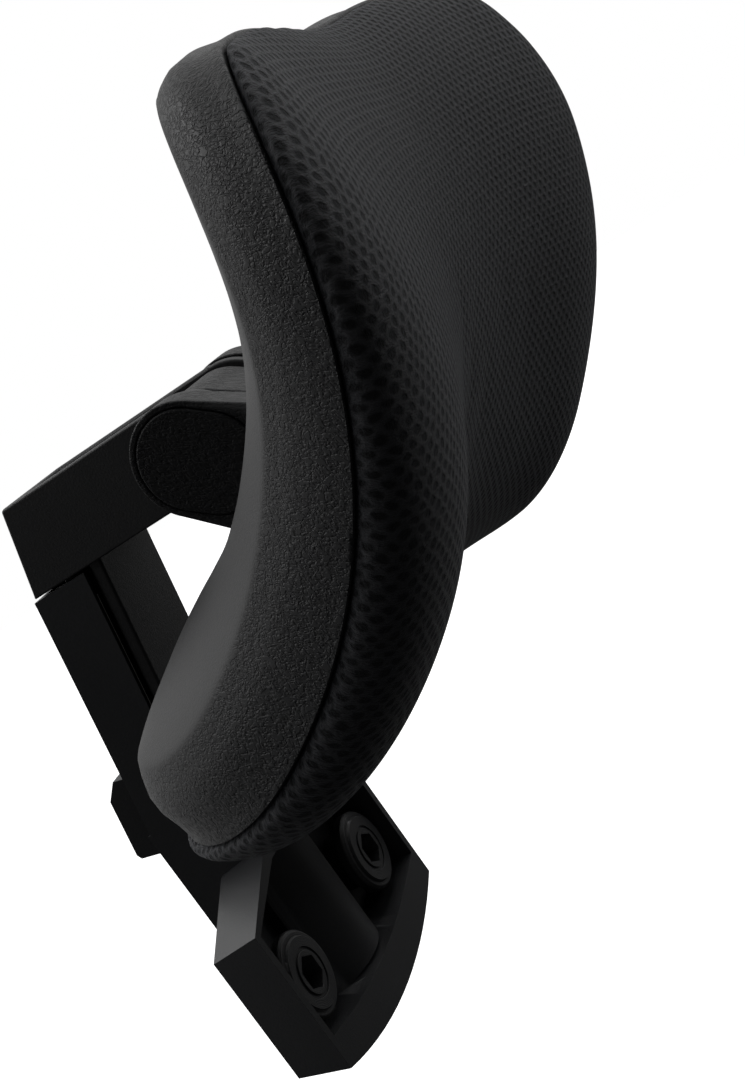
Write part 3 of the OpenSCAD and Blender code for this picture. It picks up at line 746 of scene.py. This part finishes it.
for side, label in ((-1, "left"), (1, "right")):
    tab = rounded_tab(ear_radius, foot_depth, foot_half)
    ear = plate(f"ear_{label}", tab, side * ear_inner, side * ear_outer)
    recess = plate("recess", cap_outline(ear_radius - cap_inset),
                   side * (ear_outer - cap_depth), side * (ear_outer + 2 * MM))
    round_edges(combine(ear, recess, "DIFFERENCE"), 0.55 * MM, 3)
    combine(shell, ear, "UNION")
    cap = plate(f"ear_cap_{label}", cap_outline(ear_radius - cap_inset - cap_gap),
                side * (ear_outer - cap_depth + 0.02 * MM), side * (ear_outer + 0.3 * MM))
    round_edges(cap, 0.6 * MM, 3)
    finished(cap, "pad", [f"hinge_cover_{label}"], "shell")
knuckle_tab = rounded_tab(knuckle_radius, foot_depth, knuckle_foot_half)
knuckle = plate("knuckle", knuckle_tab, -knuckle_half, knuckle_half)
round_edges(knuckle, 0.8 * MM, 3)
combine(shell, knuckle, "UNION")
print("shell with ears:", triangles(shell), "triangles")

# %% [markdown]
# The grain is deep on the skirt and on the ears and absent on the plateau. Where it lies is stored on
# the points, so that the finish can read it.

# %% Grain map and finish
def in_pad_frame(piece):
    """Every point of a piece as x, height over the saddle and z in the pad's frame."""
    points = np.array([v.co for v in piece.data.vertices]) - np.array(pad_centre)
    c, s = math.cos(pad_lean), math.sin(pad_lean)
    x, back, z = points[:, 0], points[:, 1] * c + points[:, 2] * s, -points[:, 1] * s + points[:, 2] * c
    return x, -back - saddle(x, z), z


def store(piece, name, values):
    """Keeps one number on each point of a piece."""
    kept = piece.data.attributes.new(name, "FLOAT", "POINT")
    kept.data.foreach_set("value", np.asarray(values, np.float32))


x, n, z = in_pad_frame(shell)
level = np.where(n < swept_below, n * n / np.minimum(swept(n, x, z), -1e-6), n)
on_skirt = step(level, (ridge_depth - 0.9) * MM, (ridge_depth + 0.6) * MM)
on_ear = (np.abs(x) < ear_outer + MM) * step(-n, 21.5 * MM, 24 * MM)
store(shell, "grain", np.maximum(on_skirt, on_ear))
for label in ("left", "right"):
    cap = bpy.data.objects[f"ear_cap_{label}"]
    store(cap, "grain", np.ones(len(cap.data.vertices)))
shell.data.shade_smooth()
shell.data.set_sharp_from_angle(angle=math.radians(40))
finished(shell, "pad", ["back_shell"], "shell")

# %% [markdown]
# ## Cushion and cover
# The foam and the cover share one rule. A square grid is bent so that each of its square rings lies
# on a rounded outline: the middle keeps tidy squares for the cloth solver, and the rows close up
# towards the rim, where the surface turns fastest. Past the rim the cover tucks into the gap between
# the shell and the board.

# %% The grid that both are made from
left_flatter, left_place, left_reach = 3 * MM, -96 * MM, 40 * MM
right_fuller, right_place, right_reach = 10 * MM, 36 * MM, 52 * MM
board_front, tuck_step, past_rim, measures = 3 * MM, 1.5 * MM, 1.1, 25


def sag(x, z):
    """The soft lobes are not alike: low down, the left one is a little flatter and the right one fuller."""
    flatter = left_flatter * bell(x - left_place, left_reach)
    fuller = right_fuller * bell(x - right_place, right_reach)
    return (flatter - fuller) * step(-z, -10 * MM, 60 * MM)


def cushion(name, a, b, middle, crest, cells, tucks, smaller=0.0):
    """A closed cushion: grid front, tuck rings of (inset, n) and a flat back.

    Returns it with each point's place from the middle (0) to the rim (1), and the count of its faces
    without the back.
    """
    row = np.arange(-cells, cells + 1)
    i, j = np.meshgrid(row, row, indexing="ij")
    wide, tall = np.abs(i), np.abs(j)
    rho = 1 - (1 - np.maximum(wide, tall) / cells) ** 2
    share = np.where(tall > wide, 1 - 0.5 * wide / np.maximum(tall, 1), 0.5 * tall / np.maximum(wide, 1))

    def surface_at(rho):
        x, z = outline(a * rho, b * rho, share)
        x, z = np.abs(x) * np.sign(i), np.abs(z) * np.sign(j)
        body = padding(x, z, rho, middle, crest)
        n = board_front + body - sag(x, z) * body / middle - smaller * body / middle
        return x, z, to_row(x, n, z)

    x, z, front = surface_at(rho)
    steps = [surface_at(rho * t)[2] for t in np.linspace(0, 1, measures)]
    length = sum(np.linalg.norm(p - q, axis=-1) for p, q in zip(steps, steps[1:]))
    flat = np.maximum(np.hypot(x, z), 1e-9)
    weave = np.stack([x, z], -1) * (length / flat)[..., None]
    border = ([(cells, k) for k in range(-cells, cells)] + [(k, cells) for k in range(cells, -cells, -1)]
              + [(-cells, k) for k in range(cells, -cells, -1)] + [(k, -cells) for k in range(-cells, cells)])
    edge = [(p + cells, q + cells) for p, q in border]
    at = tuple(np.array(edge).T)
    size = 2 * cells + 1
    faces = [(p * size + q, (p + 1) * size + q, (p + 1) * size + q + 1, p * size + q + 1)
             for p in range(size - 1) for q in range(size - 1)]
    points, weaves, rims = [front.reshape(-1, 3)], [weave.reshape(-1, 2)], [rho.reshape(-1)]
    low = [p * size + q for p, q in edge]
    outward = np.stack([x, z], -1)[at] / flat[at][:, None]
    tucked = np.zeros(len(edge))
    for inset, n in tucks:
        rx, rz = outline(a - inset * MM, b - inset * MM, share[at])
        rx, rz = np.abs(rx) * np.sign(i[at]), np.abs(rz) * np.sign(j[at])
        points.append(to_row(rx, np.full_like(rx, n * MM), rz))
        tucked = tucked + tuck_step
        weaves.append(weave[at] + outward * tucked[:, None])
        rims.append(np.full(len(edge), past_rim))
        high = [sum(len(p) for p in points[:-1]) + k for k in range(len(edge))]
        faces += [(low[k], high[k], high[(k + 1) % len(edge)], low[(k + 1) % len(edge)])
                  for k in range(len(edge))]
        low = high
    front_and_tuck = len(faces)
    points.append(to_row(np.zeros(1), np.array([tucks[-1][1] * MM]), np.zeros(1)))
    weaves.append(np.zeros((1, 2)))
    rims.append(np.full(1, past_rim))
    last = sum(len(p) for p in points) - 1
    faces += [(low[k], last, low[(k + 1) % len(edge)]) for k in range(len(edge))]
    piece = new_piece(name, np.concatenate(points), faces)
    chart = piece.data.uv_layers.new(name="weave")
    places = np.concatenate(weaves)
    corners = np.zeros(len(piece.data.loops), int)
    piece.data.loops.foreach_get("vertex_index", corners)
    chart.data.foreach_set("uv", places[corners].astype(np.float32).ravel())
    facing_out(piece, merged=False)
    return piece, np.concatenate(rims), front_and_tuck


print("cushion rule ready")

# %% [markdown]
# The foam keeps its moulded form, so it needs no simulation. It shows only if the cover is hidden.

# %% Foam core
cover_room, foam_cells = 3 * MM, 30
foam, _, _ = cushion("foam_core", half_width - 2 * MM, half_height - 2 * MM, foam_middle - cover_room,
                     foam_crest - cover_room, foam_cells, ((1.5, 2.0), (4.0, 0.35)))
finished(foam, "pad", ["foam_pad"], "foam")

# %% [markdown]
# ## Cover by cloth simulation
# The cover starts a little smaller than its final form and is blown out by pressure, with its rim
# held in the seam. It can only travel a little, because the foam behind it is firm. Then its back is
# opened, it gets the thickness of the spacer mesh, and one subdivision smooths it.

# %% Cover before the simulation
cover_middle, cover_crest, cover_cells = foam_middle - 0.6 * MM, foam_crest - 0.6 * MM, 44
cover_tucks = ((0.5, 1.9), (1.0, 1.25), (1.8, 0.9), (2.9, 0.72), (3.4, 0.2), (3.6, -1.5))
cover, rims, front_faces = cushion("spacer_mesh_cover", half_width + 0.4 * MM, half_height + 0.4 * MM,
                                   cover_middle, cover_crest, cover_cells, cover_tucks, smaller=0.8 * MM)
print("cover:", len(cover.data.vertices), "points,", front_faces, "faces in front of the board")


# %% Blow the cover out
def blow_up(piece, rims, pressure=4.0, frames=20, most=1.6 * MM):
    """Runs the cloth solver with the rim held, then limits how far any point has moved."""
    start = np.array([v.co for v in piece.data.vertices])
    held = piece.vertex_groups.new(name="held")
    for index, rim in enumerate(rims):
        held.add([index], float(np.clip((rim - 0.90) / 0.09, 0, 1)), "REPLACE")
    cloth = piece.modifiers.new("cloth", "CLOTH")
    cloth.settings.quality = 5
    cloth.settings.mass = 0.15
    cloth.settings.tension_stiffness = cloth.settings.compression_stiffness = 12
    cloth.settings.bending_stiffness = 0.4
    cloth.settings.use_pressure = True
    cloth.settings.uniform_pressure_force = pressure
    cloth.settings.effector_weights.gravity = 0
    cloth.settings.vertex_group_mass = "held"
    cloth.collision_settings.use_collision = False
    cloth.point_cache.frame_start, cloth.point_cache.frame_end = 1, frames
    for frame_number in range(1, frames + 1):
        scene.frame_set(frame_number)
    apply_modifiers(piece)
    scene.frame_set(1)
    moved = np.array([v.co for v in piece.data.vertices]) - start
    travel = np.linalg.norm(moved, axis=1)
    kept = most * np.tanh(travel / most)
    moved *= (kept / np.maximum(travel, 1e-12))[:, None]
    piece.data.vertices.foreach_set("co", (start + moved).astype(np.float32).ravel())
    piece.data.update()
    print("cloth moved at most", round(travel.max() * 1000, 2), "mm, kept", round(kept.max() * 1000, 2), "mm")


blow_up(cover, rims)
with edited(cover) as work:
    work.faces.ensure_lookup_table()
    bmesh.ops.delete(work, geom=[f for f in work.faces if f.index >= front_faces], context="FACES")
print("cover opened at the back:", len(cover.data.polygons), "faces")

# %% [markdown]
# Near the seam the cloth puckers a little where it is pulled in. Two waves of different length round
# the rim give puckers that don't repeat. How loose the cloth is goes onto the points, for the finish.

# %% Puckers and thickness
pucker_depth, long_waves, short_waves, wave_shift = 0.28 * MM, 17, 46, 1.3
x, n, z = in_pad_frame(cover)
ends = step(np.abs(x), 88 * MM, 128 * MM)
store(cover, "loose", np.where(x < 0, ends, ends * 0.4))
bearing = np.arctan2(z * 1.6, x)
pucker = np.sin(bearing * short_waves) * np.sin(bearing * long_waves + wave_shift)
near_rim = step(-n, -9 * MM, -3 * MM) * step(n, 0.8 * MM, 2.5 * MM)
points = np.array([v.co for v in cover.data.vertices])
outward = np.array([v.normal for v in cover.data.vertices])
points += outward * (pucker * near_rim * pucker_depth)[:, None]
cover.data.vertices.foreach_set("co", points.astype(np.float32).ravel())
thick = cover.modifiers.new("thickness", "SOLIDIFY")
thick.thickness, thick.offset = 1.5 * MM, -1
finer = cover.modifiers.new("finer", "SUBSURF")
finer.levels = finer.render_levels = 1
apply_modifiers(cover)
cover.data.shade_smooth()
finished(cover, "pad", ["mesh_cover"], "mesh")

# %% [markdown]
# ## Fasteners in rows
# Staples hold the cover's hem to the back of the board, and push-in clips hold the board to the
# shell. Both stand in straight rows on the saddle, so one tree of Geometry Nodes makes them: a line
# of points, bent onto the saddle, with one small shape on each.

# %% Geometry Nodes as formulas
class Recipe(Finish):
    """A Geometry Nodes tree that is written with the same formulas."""

    def __init__(self, name, sizes):
        self.tree = bpy.data.node_groups.new(name, "GeometryNodeTree")
        face = self.tree.interface
        face.new_socket("Geometry", in_out="OUTPUT", socket_type="NodeSocketGeometry")
        face.new_socket("Geometry", in_out="INPUT", socket_type="NodeSocketGeometry")
        for key, default in sizes.items():
            kind = "NodeSocketInt" if isinstance(default, int) else "NodeSocketFloat"
            face.new_socket(key, in_out="INPUT", socket_type=kind).default_value = default
        self.start = self.tree.nodes.new("NodeGroupInput")

    def size(self, key):
        return Value(self, self.start.outputs[key])

    def joined(self, parts):
        join = self.tree.nodes.new("GeometryNodeJoinGeometry")
        for part in parts:
            self.tree.links.new(part.socket, join.inputs[0])
        return Value(self, join.outputs[0])

    def end(self, geometry, look):
        real = self.node("GeometryNodeRealizeInstances", {}, {"Geometry": geometry})
        dressed = self.node("GeometryNodeSetMaterial", {}, {"Geometry": real, "Material": finishes[look]})
        self.tree.links.new(dressed.socket, self.tree.nodes.new("NodeGroupOutput").inputs["Geometry"])


def made_by(tree, name, sizes):
    """Runs a tree with the given sizes and keeps the result as a plain mesh."""
    piece = new_piece(name, np.zeros((0, 3)), [])
    maker = piece.modifiers.new("recipe", "NODES")
    maker.node_group = tree
    for item in tree.interface.items_tree:
        if item.in_out == "INPUT" and item.name in sizes:
            maker[item.identifier] = sizes[item.name]
    apply_modifiers(piece)
    return piece


print("recipe helper ready")

# %% The tree of the rows
def rows_on_saddle(name, shape, look):
    """Tree: two rows of one shape on the saddle, above and below the middle."""
    r = Recipe(name, {"Count": 8, "Spacing": 0.02, "Middle gap": 0.0, "Row height": 0.05, "Depth": 0.004})
    across = r.size("Spacing")
    first = r.node("ShaderNodeCombineXYZ", {}, {"X": across * (r.size("Count") - 1) * -0.5})
    offset = r.node("ShaderNodeCombineXYZ", {}, {"X": across})
    line = r.node("GeometryNodeMeshLine", {},
                  {"Count": r.size("Count"), "Start Location": first, "Offset": offset})
    place = r.node("GeometryNodeInputPosition")
    shape_mesh = r.node("GeometryNodeObjectInfo", {}, {"Object": shape}, "Geometry")
    rows = []
    for side in (-1, 1):
        height = r.size("Row height") * side
        straight = place.part(0)
        x = straight + straight.math("SIGN", straight) * r.size("Middle gap")
        back = (((height - crown_shift) ** 2) * (0.5 / crown_radius) - (x ** 2) * (0.5 / hollow_radius)
                + r.size("Depth"))
        bent = r.node("ShaderNodeCombineXYZ", {}, {"X": x, "Y": back, "Z": height})
        points = r.node("GeometryNodeSetPosition", {}, {"Geometry": line, "Position": bent})
        lean = (height - crown_shift) / crown_radius
        turn = r.node("ShaderNodeCombineXYZ", {}, {"X": lean, "Z": x * (-1 / hollow_radius)})
        rows.append(r.node("GeometryNodeInstanceOnPoints", {},
                           {"Points": points, "Instance": shape_mesh, "Rotation": turn}))
    leaning = r.node("GeometryNodeTransform", {}, {
        "Geometry": r.joined(rows), "Translation": tuple(pad_centre), "Rotation": (pad_lean, 0, 0)})
    r.end(leaning, look)
    return r.tree


print("row tree ready")

# %% [markdown]
# A staple is bent wire: a bridge over the hem and a leg at each end. A clip has a flat head, a shank
# and four fins that spring back behind the board. The wire is a tube along a path, and the clip is a
# skin through rings. That keeps both light, which matters because the rows repeat them.

# %% Staple and clip
def tube(name, path, radius, sides=8):
    """A round wire along a flat path of (x, y) points."""
    path = np.array(path)
    along = np.gradient(path, axis=0)
    along /= np.linalg.norm(along, axis=1)[:, None]
    across = np.stack([-along[:, 1], along[:, 0]], -1)
    rings = []
    t = np.linspace(0, 2 * math.pi, sides, endpoint=False)
    for (px, py), (ax, ay) in zip(path, across):
        flat = radius * np.cos(t)
        rings.append(np.stack([px + ax * flat, py + ay * flat, radius * np.sin(t)], -1))
    return facing_out(new_piece(name, *loft(rings, [*path[0], 0], [*path[-1], 0])))


leg, half_staple, bend = 2.2 * MM, 2.7 * MM, 0.7 * MM
corner = [(math.cos(t), math.sin(t)) for t in np.linspace(0, math.pi / 2, 5)]
right_half = [(half_staple, -leg)] + [(half_staple - bend + bend * c, -bend + bend * s) for c, s in corner]
staple = tube("one_staple", right_half + [(-p, q) for p, q in reversed(right_half)], 0.33 * MM)
fins, fin_pitch, clip_sides = 4, 2.4, 18
# Each ring of the clip is a radius and a depth, in millimetres.
head_rings = [(0.1, 0), (2.9, 0.1), (3.0, 0.8), (1.6, 1.2)]
fin_rings = [(radius, depth + fin_pitch * fin) for fin in range(fins)
             for radius, depth in ((1.6, 1.9), (2.9, 2.1), (1.6, 3.6))]
tip_rings = [(1.5, 11.6), (0.9, 12.4)]
round_way = np.linspace(0, 2 * math.pi, clip_sides, endpoint=False)
circle_x, circle_z = MM * np.cos(round_way), MM * np.sin(round_way)
clip_rings = [np.stack([radius * circle_x, np.full(clip_sides, depth * MM), radius * circle_z], -1)
              for radius, depth in head_rings + fin_rings + tip_rings]
clip = facing_out(new_piece("one_clip", *loft(clip_rings, (0, 0, 0), (0, 12.8 * MM, 0))))
print("one staple:", triangles(staple), "triangles, one clip:", triangles(clip), "triangles")

# %% Rows of staples and clips
board_back, hem = 3.4 * MM, 0.8 * MM
staples = made_by(rows_on_saddle("staple_rows", staple, "steel"), "hem_staples",
                  {"Count": 11, "Spacing": 20 * MM, "Row height": half_height - 15 * MM,
                   "Depth": board_back + hem + 1.45 * MM})
clips = made_by(rows_on_saddle("clip_rows", clip, "nylon"), "push_clips",
                {"Count": 4, "Spacing": 47 * MM, "Middle gap": 24.5 * MM, "Row height": 38 * MM,
                 "Depth": board_back + 1.5 * MM})
for shape in (staple, clip):
    bpy.data.objects.remove(shape)
finished(staples, "pad", ["cover_staples"], "steel")
finished(clips, "pad", ["board_clips"], "nylon")

# %% Sizes
new_low, new_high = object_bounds()
growth = [round((new - old) * 1000, 1) for new, old in zip(new_high - new_low, cad_high - cad_low)]
print("grew by", growth, "mm")
